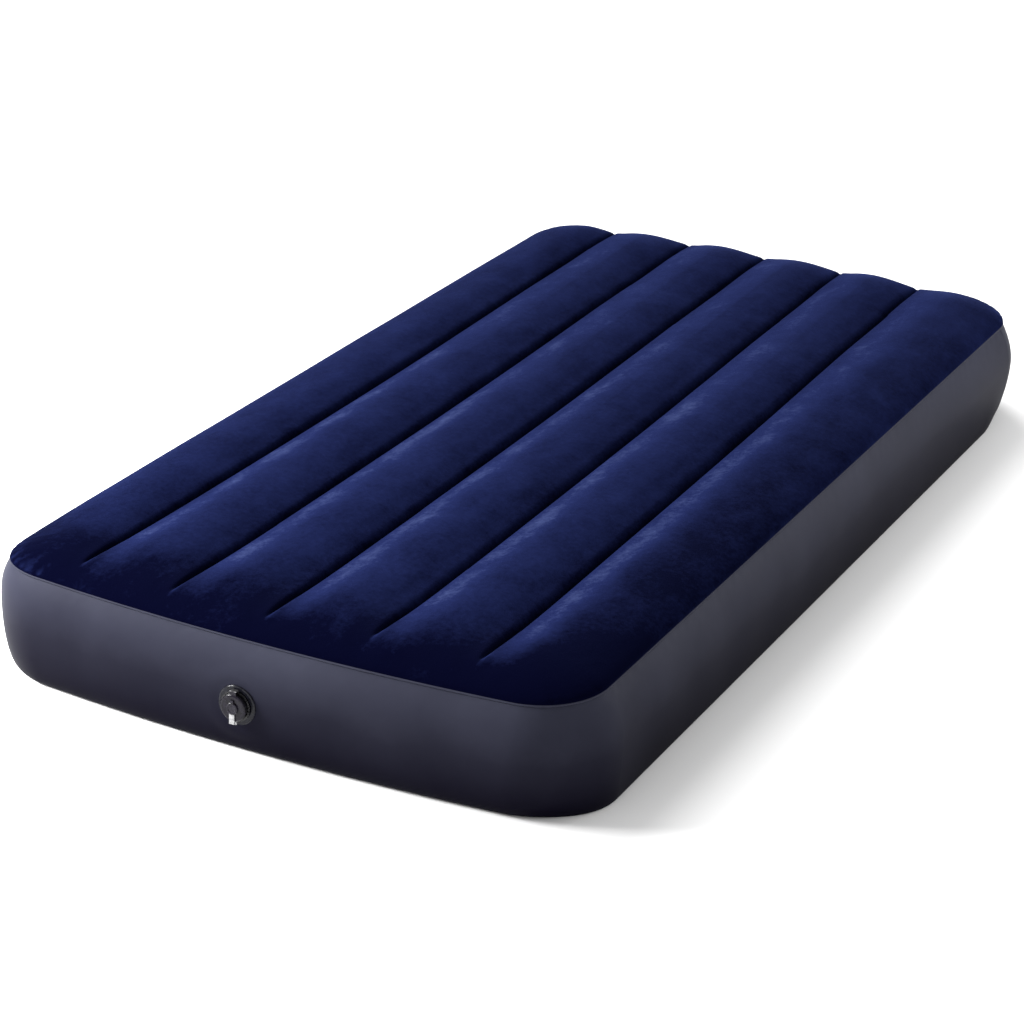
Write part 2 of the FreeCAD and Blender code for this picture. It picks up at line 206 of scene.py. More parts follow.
def waves(x, y, count, low, high, seed):
    """A sum of soft waves of wavelengths from low to high: about -1 to 1."""
    r = np.random.default_rng(seed)
    total = np.zeros(np.broadcast(x, y).shape)
    for _ in range(count):
        a = r.uniform(0, 2 * math.pi)
        k = 2 * math.pi / r.uniform(low, high)
        total += np.sin(k * (math.cos(a) * x + math.sin(a) * y) + r.uniform(0, 2 * math.pi))
    return total / math.sqrt(count)


def ease(t):
    """A soft step: 0 up to t = 0, 1 from t = 1."""
    t = np.clip(t, 0, 1)
    return t * t * (3 - 2 * t)


# ---------------------------------------------------------------- the top's shape


def crease_gap(x):
    """Distance to the nearest crease, and which crease that is."""
    gaps = np.abs(np.asarray(x)[..., None] - np.array(CREASES))
    return gaps.min(-1), gaps.argmin(-1)


def drawn_in(points):
    """Draws the left side in a little, and pulls the seam's left foot corner out to a sharper turn."""
    x, y, z = points[..., 0], points[..., 1] - MID_Y, points[..., 2]
    reach = CORNER_R * 0.7
    turn = ease((-x - CORNER_X) / reach) * ease((-y - CORNER_Y) / reach)
    pull = CORNER_PULL * turn * ease((z - WALL_MID) / (SEAM_Z - WALL_MID))
    points[..., 0] = x + LEFT_IN * np.clip(-x / SEAM_A - 0.2, 0, 1) - pull
    points[..., 1] -= 0.25 * pull
    return points


def bowed(column, v):
    """x on a grid column at row position v: the columns bow sideways with their creases."""
    v = np.asarray(v)
    beyond = MIDDLE_DRIFT * (1 - v**2) + HEAD_DRIFT * v * (v + 1) / 2
    marks = [-SEAM_A, *CREASES, SEAM_A]
    shift = np.zeros((len(v), len(column)))
    for i, x in enumerate(CREASES):
        foot = FOOT_DRIFT + FOOT_FAN * x / CREASES[-1]
        drift = foot * v * (v - 1) / 2 + beyond
        tent = np.zeros(len(marks))
        tent[i + 1] = 1
        shift += drift[:, None] * np.interp(column, marks, tent)[None, :]
    return column[None, :] + shift


def corner_puckers(x, y, d):
    """Short folds that run up from the seam where the top turns a corner."""
    total = np.zeros_like(d)
    r = np.random.default_rng(5)
    for sx in (-1, 1):
        for sy in (-1, 1):
            angle = np.arctan2(x * sx - CORNER_X, y * sy - CORNER_Y)
            for at in np.linspace(0.12, 1.35, 8) + r.uniform(-0.05, 0.05, 8):
                long = r.uniform(0.009, 0.024)
                deep = r.uniform(0.0009, 0.0022)
                wide = r.uniform(0.026, 0.040) * (1 + d / 0.06)
                lean = at + r.uniform(-3, 3) * d
                fold = np.exp(-(((angle - lean) / wide) ** 2)) * np.exp(-d / long)
                total += deep * fold * (x * sx > CORNER_X - 0.02) * (y * sy > CORNER_Y - 0.03)
    return total * np.clip(d / 0.003, 0, 1)


def painted_shading_of(column, x, y):
    """Painted light and shade on the pile at each point: painted shade by the foot, in the creases, on the
    ribs' flanks away from the light and on the outermost right rib; painted highlight on the ribs' lit
    flanks, at the creases' tips and along the corner folds.
    """
    d, _, _ = inside(x, y)
    from_end = end_of_column(x) - np.abs(y)
    gap, which = crease_gap(column)
    side = (column - np.array(CREASES)[which]) / RIB
    # painted shade: the pile darker towards the foot end, and darker still towards the right foot corner
    foot = (y < 0) * (1 - ease((from_end - 0.015) / 0.180))
    corner = foot * ease((x - 0.20) / 0.25)
    far = ease((y + 0.3) / 0.9)
    # painted highlight on each rib's flank just right of a crease, where the key light falls; away is painted
    # shade on the flank left of a crease
    rib = np.exp(-(((side - 0.18 - 0.10 * far) / (0.18 + 0.10 * far)) ** 2))
    rib = np.where(side > 0, rib * (1 - 0.28 * far), 0)
    away = np.where(side < 0, np.exp(-(((side + 0.04) / 0.20) ** 2)), 0)
    inner = ease(d / 0.10)
    # painted shade along the creases
    seam = np.exp(-gap / 0.006) * ease((from_end - CREASE_STOPS[which]) / 0.03)
    # painted highlight: a pale lip where each crease runs out at the foot
    tip = np.exp(-(((from_end - CREASE_STOPS[which] - 0.014) / 0.016) ** 2)) * (y < 0)
    tip = tip * np.exp(-(((side * RIB - 0.004) / 0.0035) ** 2))
    # painted shade: the outermost right rib darker
    outer = ease((column - CREASES[-1] - 0.03) / 0.08) * (0.10 + 0.13 * ease((0.25 - y) / 0.9))
    # all these terms are painted light and shade, not the pile's own colour; the corner folds get a painted
    # highlight
    tone = 0.03 + 0.23 * rib * inner - 0.08 * away * inner - 0.20 * seam - outer
    return tone - 0.29 * foot - 0.10 * corner + 0.30 * tip + 170 * corner_puckers(x, y, d)


def top_surface(column, x, y):
    """The flocked top: points for plan positions x, y (from the middle), on the bowed grid columns."""
    d, nx, ny = inside(x, y)
    foot = y < 0
    gap, which = crease_gap(column)
    u = np.clip(gap / (RIB / 2), 0, 1)
    edge = SEAM_Z + 0.0010
    # the shoulder: fuller at each rib's middle over the head end, low and long at the foot
    from_end = end_of_column(x) - np.abs(y)
    head = ease((y - 0.45) / 0.3) * ease((CORNER_X + 0.06 - np.abs(x)) / 0.08)
    shoulder = SHOULDER + head * (0.045 * (1 - u) ** 2 - 0.020)
    t = np.clip(d / shoulder, 0, 1)
    rise = np.sqrt(np.maximum(1 - (1 - t) ** 2, 0))
    slope = np.where(foot, 0.010, 0.002) * (1 - np.clip(from_end / 0.22, 0, 1)) ** 2
    crown = edge + (CREST_Z - edge - slope) * rise
    # the creases: held level by the beams, ending short of the foot seam and over the head end
    stop = CREASE_STOPS[which]
    past = np.maximum(from_end - stop, 0)
    held = CREASE_Z + 0.004 * np.exp(-past / 0.05)
    tip = 1 - np.exp(-((past / 0.060) ** 1.15))
    at_foot = np.maximum(crown - held, 0) * tip
    at_head = np.minimum(np.maximum(crown - CREASE_Z, 0) + 0.006 * head, 0.80 * (crown - edge))
    depth = np.where(foot, at_foot, at_head)
    section = 0.82 * (1 - u) ** 2
    sharp = np.where(foot, 1 - np.exp(-past / 0.045), ease(from_end / 0.03))
    wide = SLIT_WIDE * (0.80 + 0.40 * np.exp(-((y / 0.45) ** 2)))
    pinch = SLIT * np.exp(-((gap / wide) ** 2)) * sharp
    # each rib's crest wanders a little, and small puckers run off the creases
    free = 1 - np.exp(-((gap / 0.020) ** 2))
    level = 0.0008 * waves(x, y, 9, 0.14, 0.5, 3) * rise * free
    pucker = 0.00025 * waves(x * 0.15, y, 8, 0.02, 0.06, 4) * np.exp(-gap / 0.02) * rise * free
    z = crown - depth * section - pinch + level + pucker
    # the lip where a crease runs out: its far side stands up a little
    side = (column - np.array(CREASES)[which]) / 0.006
    lip = 0.0013 * np.exp(-(((from_end - stop - 0.010) / 0.014) ** 2)) * np.exp(-((side - 1) ** 2)) * foot
    z = z + lip
    fold = corner_puckers(x, y, d)
    lift = np.clip((z - SEAM_Z) / 0.030, 0, 1)
    out = OVERHANG * np.sin(np.pi * lift**0.6) ** 2 - fold * 0.8
    z = z - fold * 0.6
    return drawn_in(np.stack([x + nx * out, y + ny * out + MID_Y, z], -1))


# ---------------------------------------------------------------- the wall's shape


def wall_section(count, foot_out):
    """The wall's section from the seam down to where it turns in under: (outward, z) pairs."""
    points = []
    upper = count // 2
    for s in np.linspace(1, 0, upper, endpoint=False):
        points.append((BULGE * (1 - s**2), WALL_MID + (SEAM_Z - 0.0025 - WALL_MID) * s))
    for s in np.linspace(1, 0, count - upper):
        a = s * math.pi / 2
        n = foot_out + (BULGE - foot_out) * math.sin(a) ** 0.8
        points.append((n, WALL_MID * (1 - math.cos(a) ** 0.9)))
    points += [(foot_out - 0.004, 0.0), (foot_out - 0.010, 0.0), (FOOT_IN, 0.0)]
    return np.array(points)


def valve_press(points):
    """Lays the foot wall flat against the valve's stiff flange."""
    r = np.hypot(points[..., 0] - VALVE.x, points[..., 2] - VALVE.z)
    foot = points[..., 1] < MID_Y - SEAM_B
    w = (1 - ease((r - FLANGE_R - 0.002) / 0.030)) * foot
    dish = 0.0006 * np.exp(-(((r - FLANGE_R - 0.004) / 0.005) ** 2)) * foot
    flat = WALL_FACE_Y + 0.00025
    points[..., 1] = points[..., 1] * (1 - w) + flat * w + dish
    return points


def corner_share(nx, ny):
    """1 where a corner faces the diagonal, 0 along the straight walls."""
    return ((np.abs(nx) + np.abs(ny)) / math.sqrt(2)) ** 10


def head_turn(x, y):
    """1 round the head end's right corner, 0 from a little way along the walls."""
    return ease((x - CORNER_X + 0.10) / 0.16) * ease((y - CORNER_Y + 0.10) / 0.16)


def wall_surface(loop, normals):
    """Points of the wall: one row round the seam line for each point of its section."""
    end, side = wall_section(WALL_ROWS, FOOT_END), wall_section(WALL_ROWS, FOOT_SIDE)
    share = ease((np.abs(normals[:, 0]) - 0.2) / 0.7)[None, :]
    z = end[:, 1][:, None]
    n = end[:, 0][:, None] * (1 - share) + side[:, 0][:, None] * share
    corner = corner_share(normals[:, 0], normals[:, 1])
    head_right = corner * (normals[:, 0] > 0) * (normals[:, 1] > 0)
    low = np.clip(1 - z / WALL_MID, 0, 1) ** 2
    tuck = CORNER_TUCK * corner + HEAD_TUCK * head_turn(loop[:, 0], loop[:, 1])
    n = n - CORNER_SLACK * head_right[None, :] * np.maximum(n, 0) - tuck[None, :] * low
    lengths = np.cumsum(np.linalg.norm(np.roll(loop, -1, 0) - loop, axis=1))
    closing = (ease(lengths / 0.15) * ease((lengths[-1] - lengths) / 0.15))[None, :]
    mid = 1 - np.abs((z - WALL_MID) / WALL_MID) ** 2
    ripple = 0.0009 * waves(lengths[None, :], z * 0.6, 8, 0.09, 0.45, 11) * mid * closing
    near_seam = np.exp(-(SEAM_Z - z) / 0.010) * closing
    seam_pucker = 0.0005 * waves(lengths[None, :], z, 8, 0.015, 0.04, 12) * near_seam
    reach = n + ripple + seam_pucker * (z < SEAM_Z - 0.004)
    x = loop[:, 0][None, :] + normals[:, 0][None, :] * reach
    y = loop[:, 1][None, :] + normals[:, 1][None, :] * reach
    points = np.stack([x, y + MID_Y, np.broadcast_to(z, x.shape)], -1)
    return valve_press(drawn_in(points))


def valve_hole(points, faces):
    """Opens the foot wall behind the valve, with the opening's rim under the flange."""
    points = points.reshape(-1, 3)
    r = np.hypot(points[:, 0] - VALVE.x, points[:, 2] - VALVE.z)
    foot = points[:, 1] < MID_Y - SEAM_B
    gone = (r < HOLE_R) & foot
    kept = faces[~gone[faces].all(1)]
    rim = np.intersect1d(kept[gone[kept].any(1)], np.flatnonzero(gone))
    reach = (HOLE_R / np.maximum(r[rim], 1e-6))[:, None]
    centre = np.array([VALVE.x, VALVE.z])
    points[rim[:, None], [0, 2]] = centre + (points[rim[:, None], [0, 2]] - centre) * reach
    return points, kept


# ---------------------------------------------------------------- mesh helpers


def grid_faces(n_rows, n_cols, wrap=False):
    """Quads of a grid of points stored row by row."""
    i, j = np.meshgrid(np.arange(n_rows - 1), np.arange(n_cols if wrap else n_cols - 1), indexing="ij")
    k = (j + 1) % n_cols
    quads = np.stack([i * n_cols + j, i * n_cols + k, (i + 1) * n_cols + k, (i + 1) * n_cols + j], -1)
    return quads.reshape(-1, 4)


def mesh_object(name, points, faces, material, smooth=True):
    """A new mesh object in the scene, from points and faces."""
    mesh = bpy.data.meshes.new(name)
    mesh.from_pydata(np.asarray(points).reshape(-1, 3).tolist(), [], np.asarray(faces).tolist())
    mesh.validate()
    if material:
        mesh.materials.append(material)
    mesh.polygons.foreach_set("use_smooth", [smooth] * len(mesh.polygons))
    obj = bpy.data.objects.new(name, mesh)
    bpy.context.scene.collection.objects.link(obj)
    return obj


# ---------------------------------------------------------------- the cloth


def inflated():
    """Blows the top up as a cloth held at its seam and creases: how far it moves, on a coarse grid."""
    xs, vs = columns(CLOTH_STEP, [0.0, 0.004]), rows(CLOTH_STEP)
    px = np.broadcast_to(xs, (len(vs), len(xs)))
    bx = bowed(xs, vs)
    by = vs[:, None] * end_of_column(bx)
    start = top_surface(px, bx, by)
    moved = np.zeros_like(start)
    cloth = mesh_object("cloth", start, grid_faces(len(vs), len(xs)), None)
    d, _, _ = inside(bx, by)
    gap, which = crease_gap(px)
    from_end = end_of_column(bx) - np.abs(by)
    held = (gap < 0.005) & ((by > 0) | (from_end > CREASE_STOPS[which]))
    held = held | (d < CLOTH_STEP * 1.2)
    group = cloth.vertex_groups.new(name="held")
    group.add(np.flatnonzero(held.ravel()).tolist(), 1.0, "REPLACE")
    physics = cloth.modifiers.new("cloth", "CLOTH")
    fabric = physics.settings
    fabric.quality = 6
    fabric.mass = 0.3
    fabric.tension_stiffness = 25
    fabric.compression_stiffness = 4
    fabric.shear_stiffness = 3
    fabric.bending_stiffness = 0.05
    fabric.shrink_min = CLOTH_SLACK
    fabric.use_pressure = True
    fabric.uniform_pressure_force = 4
    fabric.vertex_group_mass = "held"
    fabric.effector_weights.gravity = 0
    physics.point_cache.frame_end = CLOTH_FRAMES
    for frame_number in range(1, CLOTH_FRAMES + 1):
        bpy.context.scene.frame_set(frame_number)
    shaped = cloth.evaluated_get(bpy.context.evaluated_depsgraph_get()).to_mesh()
    flat = np.empty(start.size)
    shaped.vertices.foreach_get("co", flat)
    moved = flat.reshape(start.shape) - start
    bpy.context.scene.frame_set(1)
    bpy.data.objects.remove(cloth)
    return xs, vs, moved


def cloth_shift(column, row):
    """The cloth's movement on the fine grid, capped."""
    xs, vs, moved = inflated()
    size = np.linalg.norm(moved, axis=-1, keepdims=True)
    moved = moved * CLOTH_CAP * np.tanh(size / CLOTH_CAP) / np.maximum(size, 1e-9)
    across = np.stack([[np.interp(column, xs, line) for line in moved[..., k]] for k in range(3)], -1)
    fine = np.empty((len(row), len(column), 3))
    for j in range(len(column)):
        for k in range(3):
            fine[:, j, k] = np.interp(row, vs, across[:, j, k])
    for _ in range(4):
        fine[1:-1] = (fine[:-2] + 2 * fine[1:-1] + fine[2:]) / 4
        fine[:, 1:-1] = (fine[:, :-2] + 2 * fine[:, 1:-1] + fine[:, 2:]) / 4
    fine[0] = fine[-1] = 0
    fine[:, 0] = fine[:, -1] = 0
    gap, _ = crease_gap(column)
    return fine * ease((gap - 0.006) / 0.030)[None, :, None]


# ---------------------------------------------------------------- materials


def material(name):
    """A new material, its node tree and its main shader."""
    mat = bpy.data.materials.new(name)
    mat.use_nodes = True
    tree = mat.node_tree
    shader = tree.nodes["Principled BSDF"]
    return mat, tree, shader


def node(tree, kind, **values):
    """A new shader node, with its inputs or settings given by name."""
    n = tree.nodes.new(kind)
    for key, value in values.items():
        if key in n.inputs:
            n.inputs[key].default_value = value
        else:
            setattr(n, key, value)
    return n


def flock_material():
    """Short velvet pile: dark in its depth, lying this way and that in random cloudy patches, with painted
    light and shade read from the top's point attribute.
    """
    mat, tree, shader = material("flocked_navy")
    coord = node(tree, "ShaderNodeTexCoord")
    # painted light and shade of the top, read from its point attribute
    painted_shading = node(tree, "ShaderNodeAttribute", attribute_name="painted_shading")
    warp = node(tree, "ShaderNodeTexNoise", Scale=3.0, Detail=2.0)
    push = node(tree, "ShaderNodeVectorMath", operation="MULTIPLY_ADD")
    push.inputs[1].default_value = (0.10, 0.10, 0.10)
    stretch = node(tree, "ShaderNodeMapping", Scale=(1.0, 0.62, 1.0))
    cloud = node(tree, "ShaderNodeTexNoise", Scale=16.0, Detail=8.0, Roughness=0.70)
    speck = node(tree, "ShaderNodeTexNoise", Scale=120.0, Detail=5.0, Roughness=0.75)
    tree.links.new(coord.outputs["Object"], warp.inputs["Vector"])
    tree.links.new(warp.outputs["Color"], push.inputs[0])
    tree.links.new(coord.outputs["Object"], push.inputs[2])
    tree.links.new(push.outputs["Vector"], stretch.inputs["Vector"])
    tree.links.new(stretch.outputs["Vector"], cloud.inputs["Vector"])
    tree.links.new(coord.outputs["Object"], speck.inputs["Vector"])
    # random cloudy tone plus the painted light and shade
    cloud_and_painted_shading = node(tree, "ShaderNodeMath", operation="MULTIPLY_ADD")
    cloud_and_painted_shading.inputs[1].default_value = 0.54
    tree.links.new(cloud.outputs["Fac"], cloud_and_painted_shading.inputs[0])
    tree.links.new(painted_shading.outputs["Fac"], cloud_and_painted_shading.inputs[2])
    fleck = node(tree, "ShaderNodeMath", operation="MULTIPLY_ADD")
    fleck.inputs[1].default_value = 0.36
    tree.links.new(speck.outputs["Fac"], fleck.inputs[0])
    tree.links.new(cloud_and_painted_shading.outputs["Value"], fleck.inputs[2])
    # the ramp turns the random tone and the painted light and shade into the pile's colour
    ramp = node(tree, "ShaderNodeValToRGB")
    tree.links.new(fleck.outputs["Value"], ramp.inputs["Fac"])
    ramp.color_ramp.elements[0].position = 0.24
    ramp.color_ramp.elements[0].color = (0.0010, 0.0012, 0.0075, 1)
    ramp.color_ramp.elements[1].position = 1.0
    ramp.color_ramp.elements[1].color = (0.0420, 0.0560, 0.135, 1)
    middle = ramp.color_ramp.elements.new(0.66)
    middle.color = (0.0070, 0.0105, 0.045, 1)
    tree.links.new(ramp.outputs["Color"], shader.inputs["Base Color"])
    shader.inputs["Roughness"].default_value = 0.9
    shader.inputs["Specular IOR Level"].default_value = 0.0
    shader.inputs["Sheen Weight"].default_value = 1.0
    shader.inputs["Sheen Roughness"].default_value = 0.30
    shader.inputs["Sheen Tint"].default_value = (0.027, 0.037, 0.105, 1)
    fibre = node(tree, "ShaderNodeTexNoise", Scale=700.0, Detail=3.0, Roughness=0.7)
    brushed = node(tree, "ShaderNodeBump", Strength=0.30, Distance=0.004)
    bump = node(tree, "ShaderNodeBump", Strength=0.40, Distance=0.0006)
    tree.links.new(cloud.outputs["Fac"], brushed.inputs["Height"])
    tree.links.new(coord.outputs["Object"], fibre.inputs["Vector"])
    tree.links.new(fibre.outputs["Fac"], bump.inputs["Height"])
    tree.links.new(brushed.outputs["Normal"], bump.inputs["Normal"])
    tree.links.new(bump.outputs["Normal"], shader.inputs["Normal"])
    return mat


def vinyl_material(name, dark, light, grain=0.12):
    """Smooth satin vinyl, with painted shade that makes it darker towards the floor, and a fine embossed
    grain.
    """
    mat, tree, shader = material(name)
    coord = node(tree, "ShaderNodeTexCoord")
    split = node(tree, "ShaderNodeSeparateXYZ")
    # painted shade: the base colour darkens with height towards the floor
    height = node(tree, "ShaderNodeMapRange")
    height.inputs["From Min"].default_value = 0.01
    height.inputs["From Max"].default_value = SEAM_Z
    height.inputs["To Min"].default_value = 0.0
    height.inputs["To Max"].default_value = 0.72
    cloud = node(tree, "ShaderNodeTexNoise", Scale=5.0, Detail=5.0, Roughness=0.55)
    mixed = node(tree, "ShaderNodeMath", operation="MULTIPLY_ADD")
    mixed.inputs[1].default_value = 0.42
    ramp = node(tree, "ShaderNodeValToRGB")
    tree.links.new(coord.outputs["Object"], split.inputs["Vector"])
    tree.links.new(split.outputs["Z"], height.inputs["Value"])
    tree.links.new(coord.outputs["Object"], cloud.inputs["Vector"])
    tree.links.new(cloud.outputs["Fac"], mixed.inputs[0])
    tree.links.new(height.outputs["Result"], mixed.inputs[2])
    tree.links.new(mixed.outputs["Value"], ramp.inputs["Fac"])
    ramp.color_ramp.elements[0].position = 0.15
    ramp.color_ramp.elements[0].color = (*dark, 1)
    ramp.color_ramp.elements[1].position = 0.95
    ramp.color_ramp.elements[1].color = (*light, 1)
    middle = ramp.color_ramp.elements.new(0.55)
    middle.color = (*[a + 0.30 * (b - a) for a, b in zip(dark, light)], 1)
    tree.links.new(ramp.outputs["Color"], shader.inputs["Base Color"])
    satin = node(tree, "ShaderNodeMapRange")
    satin.inputs["To Min"].default_value = 0.40
    satin.inputs["To Max"].default_value = 0.54
    tree.links.new(cloud.outputs["Fac"], satin.inputs["Value"])
    tree.links.new(satin.outputs["Result"], shader.inputs["Roughness"])
    shader.inputs["Specular IOR Level"].default_value = 0.018
    fine = node(tree, "ShaderNodeTexNoise", Scale=900.0, Detail=2.0, Roughness=0.6)
    bump = node(tree, "ShaderNodeBump", Strength=grain, Distance=0.0003)
    tree.links.new(coord.outputs["Object"], fine.inputs["Vector"])
    tree.links.new(fine.outputs["Fac"], bump.inputs["Height"])
    tree.links.new(bump.outputs["Normal"], shader.inputs["Normal"])
    return mat


def film_material():
    """Plain grey vinyl for the beams inside."""
    mat, tree, shader = material("beam_film")
    coord = node(tree, "ShaderNodeTexCoord")
    cloud = node(tree, "ShaderNodeTexNoise", Scale=22.0, Detail=4.0, Roughness=0.6)
    ramp = node(tree, "ShaderNodeValToRGB")
    tree.links.new(coord.outputs["Object"], cloud.inputs["Vector"])
    tree.links.new(cloud.outputs["Fac"], ramp.inputs["Fac"])
    ramp.color_ramp.elements[0].color = (0.10, 0.10, 0.11, 1)
    ramp.color_ramp.elements[1].color = (0.16, 0.16, 0.17, 1)
    tree.links.new(ramp.outputs["Color"], shader.inputs["Base Color"])
    shader.inputs["Roughness"].default_value = 0.6
    return mat


def smoky_material(name, inner, outer, edge, rise, clarity):
    """Smoky, partly see-through vinyl: one shade near a point over the valve's axis, another past edge."""
    mat, tree, shader = material(name)
    coord = node(tree, "ShaderNodeTexCoord")
    split = node(tree, "ShaderNodeSeparateXYZ")
    tree.links.new(coord.outputs["Object"], split.inputs["Vector"])
    flat = node(tree, "ShaderNodeCombineXYZ")
    tree.links.new(split.outputs["X"], flat.inputs["X"])
    tree.links.new(split.outputs["Z"], flat.inputs["Z"])
    away = node(tree, "ShaderNodeVectorMath", operation="DISTANCE")
    away.inputs[1].default_value = (VALVE.x, 0, VALVE.z + rise)
    tree.links.new(flat.outputs["Vector"], away.inputs[0])
    flow = node(tree, "ShaderNodeTexNoise", Scale=110.0, Detail=4.0, Roughness=0.6, Distortion=1.0)
    tree.links.new(coord.outputs["Object"], flow.inputs["Vector"])
    swirl = node(tree, "ShaderNodeMath", operation="MULTIPLY_ADD")
    swirl.inputs[1].default_value = 0.0016
    tree.links.new(flow.outputs["Fac"], swirl.inputs[0])
    tree.links.new(away.outputs["Value"], swirl.inputs[2])
    zone = node(tree, "ShaderNodeMapRange")
    zone.inputs["From Min"].default_value = edge
    zone.inputs["From Max"].default_value = edge + 0.0016
    tree.links.new(swirl.outputs["Value"], zone.inputs["Value"])
    tone = node(tree, "ShaderNodeMix", data_type="RGBA")
    tone.inputs["A"].default_value = (*inner, 1)
    tone.inputs["B"].default_value = (*outer, 1)
    tree.links.new(zone.outputs["Result"], tone.inputs["Factor"])
    shade = node(tree, "ShaderNodeMix", data_type="RGBA", blend_type="MULTIPLY")
    shade.inputs["Factor"].default_value = 0.7
    streak = node(tree, "ShaderNodeValToRGB")
    streak.color_ramp.elements[0].position = 0.38
    streak.color_ramp.elements[0].color = (0.35, 0.35, 0.35, 1)
    streak.color_ramp.elements[1].position = 0.62
    tree.links.new(flow.outputs["Fac"], streak.inputs["Fac"])
    tree.links.new(tone.outputs["Result"], shade.inputs["A"])
    tree.links.new(streak.outputs["Color"], shade.inputs["B"])
    tree.links.new(shade.outputs["Result"], shader.inputs["Base Color"])
    gloss = node(tree, "ShaderNodeMapRange")
    gloss.inputs["To Min"].default_value = 0.12
    gloss.inputs["To Max"].default_value = 0.30
    tree.links.new(flow.outputs["Fac"], gloss.inputs["Value"])
    tree.links.new(gloss.outputs["Result"], shader.inputs["Roughness"])
    shader.inputs["Transmission Weight"].default_value = clarity
    shader.inputs["IOR"].default_value = 1.45
    shader.inputs["Specular IOR Level"].default_value = 0.15
    fine = node(tree, "ShaderNodeTexNoise", Scale=420.0, Detail=2.0)
    bump = node(tree, "ShaderNodeBump", Strength=0.12, Distance=0.0002)
    tree.links.new(coord.outputs["Object"], fine.inputs["Vector"])
    tree.links.new(fine.outputs["Fac"], bump.inputs["Height"])
    tree.links.new(bump.outputs["Normal"], shader.inputs["Normal"])
    return mat


def rubber_material():
    mat, tree, shader = material("flap_rubber")
    coord = node(tree, "ShaderNodeTexCoord")
    dust = node(tree, "ShaderNodeTexNoise", Scale=220.0, Detail=5.0, Roughness=0.7)
    ramp = node(tree, "ShaderNodeValToRGB")
    tree.links.new(coord.outputs["Object"], dust.inputs["Vector"])
    tree.links.new(dust.outputs["Fac"], ramp.inputs["Fac"])
    ramp.color_ramp.elements[0].color = (0.012, 0.012, 0.013, 1)
    ramp.color_ramp.elements[1].color = (0.030, 0.030, 0.032, 1)
    tree.links.new(ramp.outputs["Color"], shader.inputs["Base Color"])
    shader.inputs["Roughness"].default_value = 0.7
    bump = node(tree, "ShaderNodeBump", Strength=0.3, Distance=0.0002)
    tree.links.new(dust.outputs["Fac"], bump.inputs["Height"])
    tree.links.new(bump.outputs["Normal"], shader.inputs["Normal"])
    return mat


# ---------------------------------------------------------------- the pieces


def build_skin():
    """The top, the wall, the seam bead and the bottom, on one shared grid."""
    flock = flock_material()
    vinyl = vinyl_material("wall_vinyl", (0.0018, 0.0012, 0.0055), (0.0335, 0.0350, 0.0525))
    base = vinyl_material("base_vinyl", (0.016, 0.017, 0.025), (0.024, 0.026, 0.038), 0.3)
    xs, vs = columns(GRID_STEP, FINE), rows(GRID_STEP)
    ends = end_of_column(xs)
    px = np.broadcast_to(xs, (len(vs), len(xs)))
    bx = bowed(xs, vs)
    by = vs[:, None] * end_of_column(bx)
    shape = top_surface(px, bx, by) + cloth_shift(xs, vs)
    top = mesh_object("flocked_top", shape, grid_faces(len(vs), len(xs)), flock)
    # painted light and shade on the flocked top, stored as a point attribute for its material
    painted_shading = top.data.attributes.new("painted_shading", "FLOAT", "POINT")
    painted_shading.data.foreach_set("value", painted_shading_of(px, bx, by).ravel())
    loop = np.concatenate(
        [
            np.stack([xs[:-1], -ends[:-1]], -1),
            np.stack([np.full(len(vs) - 1, xs[-1]), vs[:-1] * ends[-1]], -1),
            np.stack([xs[::-1][:-1], ends[::-1][:-1]], -1),
            np.stack([np.full(len(vs) - 1, xs[0]), vs[::-1][:-1] * ends[0]], -1),
        ]
    )
    _, nx, ny = inside(loop[:, 0] * 0.9999, loop[:, 1] * 0.9999)
    normals = np.stack([nx, ny], -1)
    points = wall_surface(loop, normals)
    faces = grid_faces(len(points), len(loop), wrap=True)[:, ::-1]
    wall = mesh_object("vinyl_wall", *valve_hole(points, faces), vinyl)
    bead = seam_bead(loop, normals, vinyl)
    under = mesh_object("vinyl_base", base_surface(px, bx, by), grid_faces(len(vs), len(xs))[:, ::-1], base)
    films = beam_films(xs, vs)
    beams = [f"beam_{i}_{part}" for i in range(1, 6) for part in ("top_strip", "web", "bottom_strip")]
    for piece, cad, slot, soft in (
        (top, ["top_panel"], "flocked_top", True),
        (wall, ["side_wall", "wall_joint"], "wall_vinyl", True),
        (bead, ["top_seam"], "seam_vinyl", False),
        (under, ["bottom_panel", "bottom_seam"], "base_vinyl", True),
        (films, beams, "beam_vinyl", False),
    ):
        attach(piece, "mattress_body")
        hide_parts(*cad)


def beam_films(xs, vs):
    """The beams inside: a web and two welded strips under and over each bowed crease."""
    film = film_material()
    v = vs[np.abs(vs) < BEAM_SHARE]
    half = np.array([*FINE[1:], STRIP_HALF])
    across = np.concatenate([-half[::-1], [0.0], half])
    points, faces, count = [], [], 0
    for x0 in CREASES:
        column = x0 + across
        bx = bowed(column, v)
        by = v[:, None] * end_of_column(bx)
        top = top_surface(np.broadcast_to(column, bx.shape), bx, by)
        low = base_surface(np.broadcast_to(column, bx.shape), bx, by)
        top[..., 2] -= 0.0012
        low[..., 2] += 0.0010
        s = np.linspace(0, 1, 9)[None, :, None]
        web = top[:, 5:6] * (1 - s) + low[:, 5:6] * s
        web[..., 0] += 0.002 * np.sin(np.pi * s[..., 0]) * np.sin(v * 23 + x0 * 40)[:, None]
        for sheet in (top, low, web):
            down, along = sheet.shape[:2]
            points.append(sheet.reshape(-1, 3))
            faces.append(grid_faces(down, along) + count)
            count += down * along
    return mesh_object("beam_films", np.concatenate(points), np.concatenate(faces), film)


